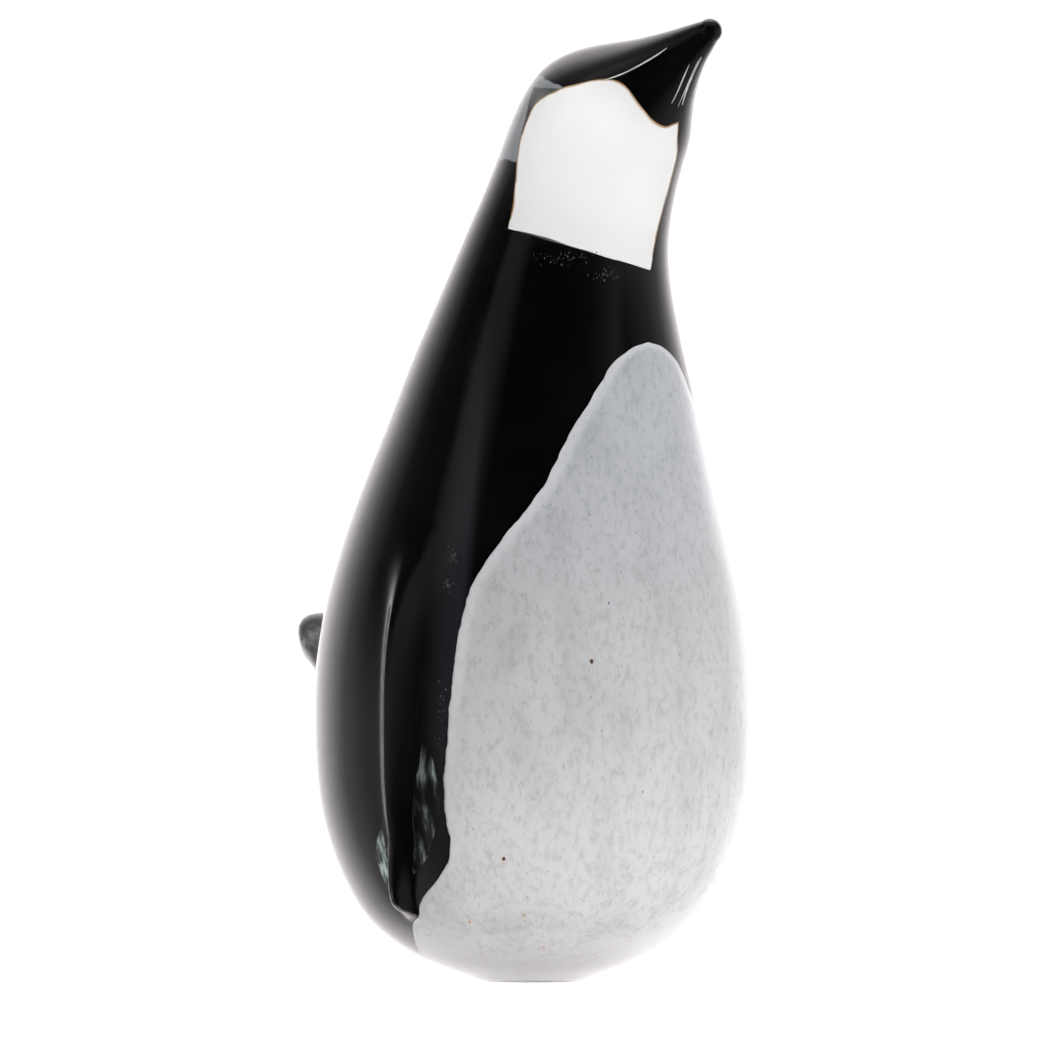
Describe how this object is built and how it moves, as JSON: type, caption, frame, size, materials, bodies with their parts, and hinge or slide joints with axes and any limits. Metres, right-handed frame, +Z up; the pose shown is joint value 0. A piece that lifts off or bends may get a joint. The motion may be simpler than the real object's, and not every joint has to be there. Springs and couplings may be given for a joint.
{
  "type": "penguin figurine",
  "caption": "Standing penguin ornament of solid cased glass, black and white under a clear outer layer, with its beak raised, resting on a small ground flat.",
  "frame": {"origin": "centre of the ground flat under the body", "axes": "+Z up, the bird faces -Y, its right side is towards -X"},
  "size_m": [0.0964, 0.1101, 0.2],
  "materials": {
    "clear_glass": "clear, fire polished, glossy",
    "black_glass": "opaque black glass under the casing",
    "speckled_glass": "opaque grey-white glass with fine darker flecks",
    "white_glass": "opaque white glass",
    "grey_glass": "blue-grey translucent glass"
  },
  "bodies": {
    "root": {"clear_casing": "clear_glass", "black_mantle": "black_glass", "breast_panel": "speckled_glass", "face_patch": "white_glass", "nape_window": "grey_glass", "crown_cap": "black_glass", "beak_core": "black_glass", "inner_gather": "white_glass", "right_flipper_core": "black_glass", "right_flipper_sheath": "clear_glass", "left_flipper_core": "black_glass", "left_flipper_sheath": "clear_glass", "tail_core": "black_glass", "tail_sheath": "clear_glass"}
  },
  "joints": []
}
